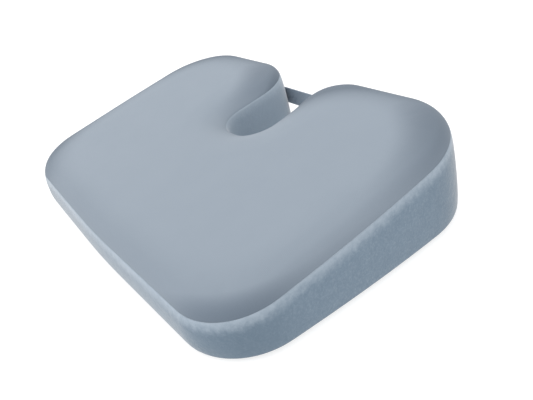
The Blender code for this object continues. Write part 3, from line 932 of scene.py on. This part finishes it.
def tray_rows(depth):
    """Rows of an inner layer from the underside up to the split between the foams."""
    split = split_row(depth)
    edge = [edge_row(EVERY, angle, depth) for angle in np.linspace(FLOOR_ANGLE, 0, 7)]
    return edge + side_rows(EVERY, EDGE_RADIUS, split[:, 2], 5, depth)[1:-1] + [split]


def lid_rows(depth):
    """Rows of an inner layer from the split up over the shoulder."""
    split = split_row(depth, LID_LIFT)
    side = side_rows(EVERY, split[:, 2], SEAMS, 4, depth)[1:-1]
    return [split] + side + shoulder_rows(9, depth)


def make_core(base_look, comfort_look, liner):
    both, first, last = (True, True), (True, False), (False, True)
    base = skin("support_foam_core", tray_rows(FOAM_DEPTH), base_look, both, TRAY_SPACING)
    belongs(base, "cushion", "support_foam", "foam_base")
    comfort = skin("memory_foam_layer", lid_rows(FOAM_DEPTH), comfort_look, both, TRAY_SPACING)
    belongs(comfort, "cushion", "memory_foam", "foam_comfort_layer")
    for half, rows, caps in (("lower", tray_rows, first), ("upper", lid_rows, last)):
        sock = skin("liner_sock_" + half, rows(LINER_DEPTH), liner, caps, TRAY_SPACING)
        belongs(thicken(sock, LINER_CLOTH), "cushion", "liner_cloth", "liner_" + half)


# ---- the cover


def make_top(look):
    piece = skin("cover_top", shoulder_rows(20), look, (False, True), TOP_SPACING, domed=True)
    drawn_tight(piece)
    thicken(piece, CLOTH)
    belongs(piece, "cushion", "top_knit", "top_panel")


def base_rows(numbers):
    return [edge_row(numbers, angle) for angle in np.linspace(BASE_SEAM_ANGLE, 0, 8)]


def make_bands(look):
    """The side band in its sewn lengths; the left one is in two, either side of the zipper."""
    bands = {}
    for name, numbers in (("main", MAIN), ("cutout", CUTOUT), ("rear_left", REAR_LEFT)):
        side = side_rows(numbers, EDGE_RADIUS, SEAMS[numbers], 24)[1:]
        bands[name] = (numbers, base_rows(numbers) + side)
    low = CHAIN_HEIGHT - ZIP_SLIT / 2 - HEM / 2
    high = CHAIN_HEIGHT + ZIP_SLIT / 2 + HEM / 2
    fold = [(HEM / 2 * sin(t), HEM * (1 - cos(t))) for t in np.linspace(0, pi / 2, 5)[1:]]
    lower = base_rows(ZIP) + side_rows(ZIP, EDGE_RADIUS, low, 5)[1:]
    bands["zip_lower"] = (ZIP, lower + [side_row(ZIP, low + up, depth) for up, depth in fold])
    upper = [side_row(ZIP, high - up, depth) for up, depth in reversed(fold)]
    bands["zip_upper"] = (ZIP, upper + side_rows(ZIP, high, SEAMS[ZIP], 18))
    for name, (numbers, rows) in bands.items():
        piece = thicken(band("cover_band_" + name, numbers, rows, look), CLOTH)
        belongs(piece, "cushion", "side_velour", "band_" + name)


def dot(x, y, height):
    """One low dome of rubber, hanging under the fabric."""
    angles = around(10)
    rings = []
    for share, drop in DOT_PROFILE:
        radius = DOT_RADIUS * share
        level = np.full(len(angles), height - DOT_HEIGHT * drop)
        rings.append(np.column_stack([x + radius * np.cos(angles), y + radius * np.sin(angles), level]))
    vertices, faces = closed_tube(rings)
    return vertices, [face[::-1] for face in faces]


def make_underside(look, dot_look):
    rows = [edge_row(EVERY, angle) for angle in np.linspace(FLOOR_ANGLE, BASE_SEAM_ANGLE, 6)]
    top = rows[-1][0, 2]
    for row in rows:
        row[:, 2] = DOT_HEIGHT + row[:, 2] * (top - DOT_HEIGHT) / top
    piece = thicken(skin("cover_base", rows, look, (True, False), BASE_SPACING), CLOTH)
    belongs(piece, "cushion", "grip_fabric", "bottom_panel")
    places = field_inside(rows[0][:, :2], DOT_PITCH, DOT_PITCH * 0.6)
    dots = joined([dot(x, y, DOT_HEIGHT + DOT_SINK) for x, y in places])
    built("grip_dots", dots, dot_look, "cushion", "grip_fabric")


# ---- the zipper


ZIP_LENGTH = RUNS[ZIP][:-1].sum()
ZIP_OUT = np.column_stack([OUTWARD[ZIP], np.zeros(len(ZIP))])


def chain_guide(pitch, start, end):
    """Places on the chain's line, and the way out of the cloth at each. The run they are measured
    on counts the turning of that way too, so it is longer than the chain, and places crowd
    together where the chain bends."""
    path = np.hstack([side_row(ZIP, CHAIN_HEIGHT), ZIP_OUT])
    run = distances(path)
    return np.hsplit(at_stops(path, run, np.arange(start, run[-1] - end, pitch)), 2)


def coil_path(side):
    """The wire of one coil: flattened turns that stand on the chain's line; side is 1 up, -1 down."""
    margin = STOP_END + STOP_LENGTH + COIL_PITCH
    places, out = chain_guide(COIL_PITCH / TURN_POINTS, margin, margin)
    turn = 2 * pi * np.arange(len(places)) / TURN_POINTS + (pi if side > 0 else 0)
    middle = (COIL_NEAR + COIL_FAR) / 2
    half_width = (COIL_FAR - COIL_NEAR) / 2 - COIL_WIRE
    half_depth = (COIL_DEPTHS[1] - COIL_DEPTHS[0]) / 2 - COIL_WIRE
    depth = (COIL_DEPTHS[0] + COIL_DEPTHS[1]) / 2 + half_depth * np.sin(turn)
    height = side * (middle - half_width * signed_power(np.cos(turn), 0.7))
    return places - out * depth[:, None] + np.outer(height, (0, 0, 1))


def stop_block(start, low, high):
    """A rounded, crimped bar on the chain, from one height to another. It comes out far longer than
    STOP_LENGTH, since its end is taken from ZIP_LENGTH and chain_guide's run is longer."""
    places, ways = chain_guide(STOP_LENGTH / 6, start, ZIP_LENGTH - start - STOP_LENGTH * 1.01)
    cosines, sines = np.cos(around(12)), np.sin(around(12))
    rings = []
    for k, (place, out) in enumerate(zip(places, ways)):
        pinch = STOP_PINCH + (1 - STOP_PINCH) * sin(pi * k / (len(places) - 1))
        up = (low + high) / 2 + (high - low) / 2 * pinch * signed_power(sines, 0.5)
        depth = STOP_DEPTH - STOP_HALF_DEPTH * pinch * signed_power(cosines, 0.5)
        rings.append(place - np.outer(depth, out) + np.outer(up, (0, 0, 1)))
    return closed_tube(rings)


def make_chain(tape_look, coil_look, stop_look, thread):
    stitches = []
    for name, side in (("upper", 1), ("lower", -1)):
        reach = np.linspace(TAPE_NEAR, TAPE_FAR, 8) * side
        rows = [side_row(ZIP, CHAIN_HEIGHT + r, TAPE_DEPTH) for r in reach]
        for row in rows:  # the tapes stay in front of the room that is left behind the zipper
            row[:, :2] += OUTWARD[ZIP] * (ZIP_ROOM * ZIP_SHARE[ZIP])[:, None]
        if side < 0:
            rows.reverse()
        tape = thicken(band("zip_tape_" + name, ZIP, rows, tape_look), TAPE_CLOTH)
        belongs(tape, "cushion", "zipper_tape", "zipper_tape_" + name)
        coil = tube(coil_path(side), COIL_WIRE, 5)
        built("zip_coil_" + name, coil, coil_look, "cushion", "zipper_coil", "zipper_coil_" + name)
        near, far = sorted((side * COIL_NEAR, side * COIL_FAR))
        stop = stop_block(ZIP_LENGTH - STOP_END - STOP_LENGTH, near, far)
        node = "zipper_top_stop_" + name
        built("zip_top_stop_" + name, stop, stop_look, "cushion", "zipper_metal", node)
        line = side_row(ZIP, CHAIN_HEIGHT + side * (ZIP_SLIT / 2 + SEWN_FROM_SLIT))
        stitches += stitch_line((line + ZIP_OUT * 0.0001)[2:-2], ZIP_OUT[2:-2])
    stop = stop_block(STOP_END, -COIL_FAR, COIL_FAR)
    built("zip_bottom_stop", stop, stop_look, "cushion", "zipper_metal", "zipper_bottom_stop")
    built("zip_stitching", joined(stitches), thread, "cushion", "thread")


def joint_place(name):
    joint = [j for j in frame["joints"] if j["name"] == name][0]
    return Vector(joint["pos_m"])


def slider_frame():
    """The pull's axis, and the slider's own directions: out of the side and rearward along it."""
    centre, pull = joint_place("zipper_slide"), joint_place("pull_swing")
    out = (pull - centre).normalized()
    return pull, out, Vector((out.y, -out.x, 0))


def placed(shape, origin, out, rear):
    """Own coordinates (out, rearward, up) turned into the frame's."""
    points, faces = shape
    axes = np.array([out, rear, (0, 0, 1)])
    return np.asarray(points) @ axes + np.array(origin), faces


def rim_rings(outline, middle, low, high, round_by):
    """Rings of a flat plate with rounded rims: outline in (rearward, up), from low to high outwards."""
    rings = []
    for out, inset in ((low, round_by), (low + round_by, 0), (high - round_by, 0), (high, round_by)):
        away = outline - middle
        shrunk = middle + away * (1 - inset / np.linalg.norm(away, axis=1))[:, None]
        rings.append(np.column_stack([np.full(len(outline), out), shrunk]))
    return rings


def slab(outline, low, high, round_by):
    return closed_tube(rim_rings(outline, outline.mean(axis=0), low, high, round_by))


def rounded_rect(length, width, power, count, taper=0.0):
    """A superellipse, its rear end narrower by the taper."""
    along = length / 2 * signed_power(np.cos(around(count)), 2 / power)
    up = width / 2 * signed_power(np.sin(around(count)), 2 / power)
    return np.column_stack([along, up * (1 - taper * (along / length + 0.5))])


def make_slider(look):
    """Two plates, the post that joins them, and the bail."""
    pull, out, rear = slider_frame()
    shield = rounded_rect(SLIDER_LENGTH, SLIDER_WIDTH, 3.5, 36, SLIDER_TAPER)
    post = rounded_rect(POST_LENGTH, POST_WIDTH, 2.5, 14) - (POST_FORWARD, 0)
    turns = np.linspace(0, pi, 13)
    arch = [(BAIL_FOOT + BAIL_RISE * sin(t) ** 0.6, BAIL_HALF * cos(t), 0) for t in turns]
    parts = [
        slab(shield, *SLIDER_FRONT, 0.0003),
        slab(shield * (1, 0.96), *SLIDER_BACK, 0.0002),
        slab(post, *SLIDER_POST, 0.0001),
        tube(arch, BAIL_WIRE, 10),
    ]
    shape = placed(joined(parts), pull - out * PULL_STAND_OUT, out, rear)
    built("zip_slider", shape, look, "slider", "zipper_metal", "zipper_slider")


def make_pull(look):
    """The pull tab: a flat plate with an eye at the bail and raised grip bars."""
    count = 40
    half = PULL_THICKNESS / 2
    length = PULL_LENGTH + half
    centre = length / 2 - half
    outline = rounded_rect(length, PULL_WIDTH, 3.2, count)
    widening = np.clip((outline[:, 0] + length / 2) / (length * PULL_WAIST_SHARE), 0, 1)
    outline[:, 1] *= PULL_WAIST + (1 - PULL_WAIST) * widening
    outline[:, 0] += centre
    rings = rim_rings(outline, (centre, 0), -half, half, PULL_ROUNDING)
    eye = np.column_stack([EYE_HALF_LENGTH * np.cos(around(count)), EYE_HALF_WIDTH * np.sin(around(count))])
    for across, inset in ((half, 1), (half - PULL_ROUNDING, 0), (PULL_ROUNDING - half, 0), (-half, 1)):
        grown = (EYE_PLACE, 0) + eye * (1 + inset * PULL_ROUNDING / EYE_HALF_WIDTH)
        rings.append(np.column_stack([np.full(count, across), grown]))
    faces = grid_faces(len(rings), count, closed=True)
    last = (len(rings) - 1) * count
    faces += [(last + k, last + (k + 1) % count, (k + 1) % count, k) for k in range(count)]
    bar = rounded_rect(BAR_LENGTH, PULL_WIDTH * BAR_SHARE, 3, 16)
    bars = [slab(bar + (x, 0), half - BAR_SINK, half + BAR_RISE, 0.0001) for x in BAR_PLACES]
    shape = placed(joined([(np.vstack(rings), faces), *bars]), *slider_frame())
    built("zip_pull", shape, look, "pull", "zipper_metal", "zipper_pull")


# ---- the handle


def strap_profile():
    """The webbing across: (out, up) round its edge, with thin rounded selvages."""
    up = WEBBING_WIDTH / 2 * signed_power(np.cos(around(20)), 0.8)
    return WEBBING_THICKNESS / 2 * signed_power(np.sin(around(20)), 0.35), up


def strap_middle(x):
    """The middle of the webbing at x: it rests on the rear face, and hangs a touch between its ends."""
    face = REAR_FACE + HANDLE_GAP + WEBBING_THICKNESS / 2
    free = np.clip(1 - abs(x) / HANDLE_FREE_HALF, 0, 1)
    return np.array([x, face, HANDLE_HEIGHT - HANDLE_SAG * sin(pi * free / 2) ** 2])


def make_handle(look, thread):
    """The webbing in two halves that meet in the middle, and the stitching of its ends."""
    thick, up = strap_profile()
    flat = np.zeros(len(up))
    nodes = {"left": ["handle_end_left", "handle_grip"], "right": ["handle_end_right"]}
    for name, side in (("left", -1), ("right", 1)):
        xs = side * np.linspace(0, HANDLE_REACH + HANDLE_PAST, 110)
        rings = [strap_middle(x) + np.column_stack([flat, thick, up]) for x in xs]
        rings[-1] = strap_middle(xs[-1]) + np.column_stack([flat, thick * 0.8, up * 0.985])
        vertices, faces = closed_tube(rings)
        uvs = np.array([(x, v) for x in xs for v in up])
        piece = facing_out(new_object("handle_strap_" + name, vertices, faces, look, uvs))
        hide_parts(*nodes[name])
        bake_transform(piece)
        make_box_stitch(name, side * (HANDLE_FREE_HALF + HANDLE_REACH) / 2, thread)


def make_box_stitch(name, x, look):
    """A sewn box with crossed diagonals on a handle end."""
    face = REAR_FACE + HANDLE_GAP + WEBBING_THICKNESS
    ends = np.array([(-1, -1), (1, -1), (1, 1), (-1, 1), (-1, -1), (1, 1)])
    ends = [(x + a * BOX_LENGTH / 2, face, HANDLE_HEIGHT + b * BOX_WIDTH / 2) for a, b in ends]
    threads = []
    for start, end in [*zip(ends, ends[1:]), (ends[3], ends[1])]:
        threads += stitch_line(np.array([start, end]), (0, 1, 0))
    built("handle_box_stitch_" + name, joined(threads), look, "cushion", "thread", "handle_stitch_" + name)


# ---- camera, floor, lights


def make_camera():
    """Close above the right side, looking down on the cushion and a little turned on its axis."""
    level = cos(VIEW_ELEVATION)
    back = Vector((sin(VIEW_AZIMUTH) * level, -cos(VIEW_AZIMUTH) * level, sin(VIEW_ELEVATION)))
    right = Vector((0, 0, 1)).cross(back).normalized()
    up = back.cross(right)
    axis_x = right * cos(VIEW_ROLL) + up * sin(VIEW_ROLL)
    axis_y = up * cos(VIEW_ROLL) - right * sin(VIEW_ROLL)
    data = bpy.data.cameras.new("camera")
    data.sensor_width = 36
    data.lens = VIEW_LENS
    data.shift_x, data.shift_y = VIEW_SHIFT
    data.clip_start = 0.01
    turn = Matrix((axis_x, axis_y, back)).transposed().to_4x4()
    camera = linked("camera", data)
    camera.matrix_world = Matrix.Translation(VIEW_AIM + back * VIEW_DISTANCE) @ turn
    bpy.context.scene.camera = camera


def area_light(name, place, size, power):
    """A disk of light that faces the cushion."""
    data = bpy.data.lights.new(name, "AREA")
    data.shape = "DISK"
    data.size = size
    data.energy = power
    lamp = linked(name, data)
    lamp.location = place
    lamp.rotation_euler = (-Vector(place)).to_track_quat("-Z", "Y").to_euler()


def make_surroundings():
    glow = {"Emission_Color": (1, 1, 1, 1), "Emission_Strength": FLOOR_GLOW}
    floor_look = new_material("floor_look", FLOOR, 0.9, **glow)[0]
    square = np.array([(-1, -1, 0), (1, -1, 0), (1, 1, 0), (-1, 1, 0)]) * FLOOR_HALF
    new_object("floor", square + (0, 0, FLOOR_HEIGHT), [(0, 1, 2, 3)], floor_look)
    world = bpy.data.worlds.new("pale_world")
    world.use_nodes = True
    background = world.node_tree.nodes["Background"]
    background.inputs["Color"].default_value = (1, 1, 1, 1)
    background.inputs["Strength"].default_value = WORLD_STRENGTH
    bpy.context.scene.world = world
    for name, settings in LIGHTS.items():
        area_light(name, *settings)
    bpy.context.scene.view_settings.view_transform = "Standard"


def main():
    thread = thread_look()
    metal = smooth_look("zipper_metal_look", METAL, METAL_WORN, 0.38, 0.9)
    make_camera()
    make_surroundings()
    make_core(
        foam_look("support_foam_look", SUPPORT_FOAM, SUPPORT_FOAM_DARK, 0.0012),
        foam_look("memory_foam_look", MEMORY_FOAM, MEMORY_FOAM_DARK, 0.0006),
        liner_look(),
    )
    make_top(knit_look())
    make_bands(velour_look())
    make_underside(grip_look(), rubber_look())
    tape = twill_look("zipper_tape_look", TAPE, TAPE_DARK)
    make_chain(tape, smooth_look("zipper_coil_look", COIL, COIL_WORN, 0.6), metal, thread)
    make_slider(metal)
    make_pull(metal)
    make_handle(webbing_look(), thread)


main()
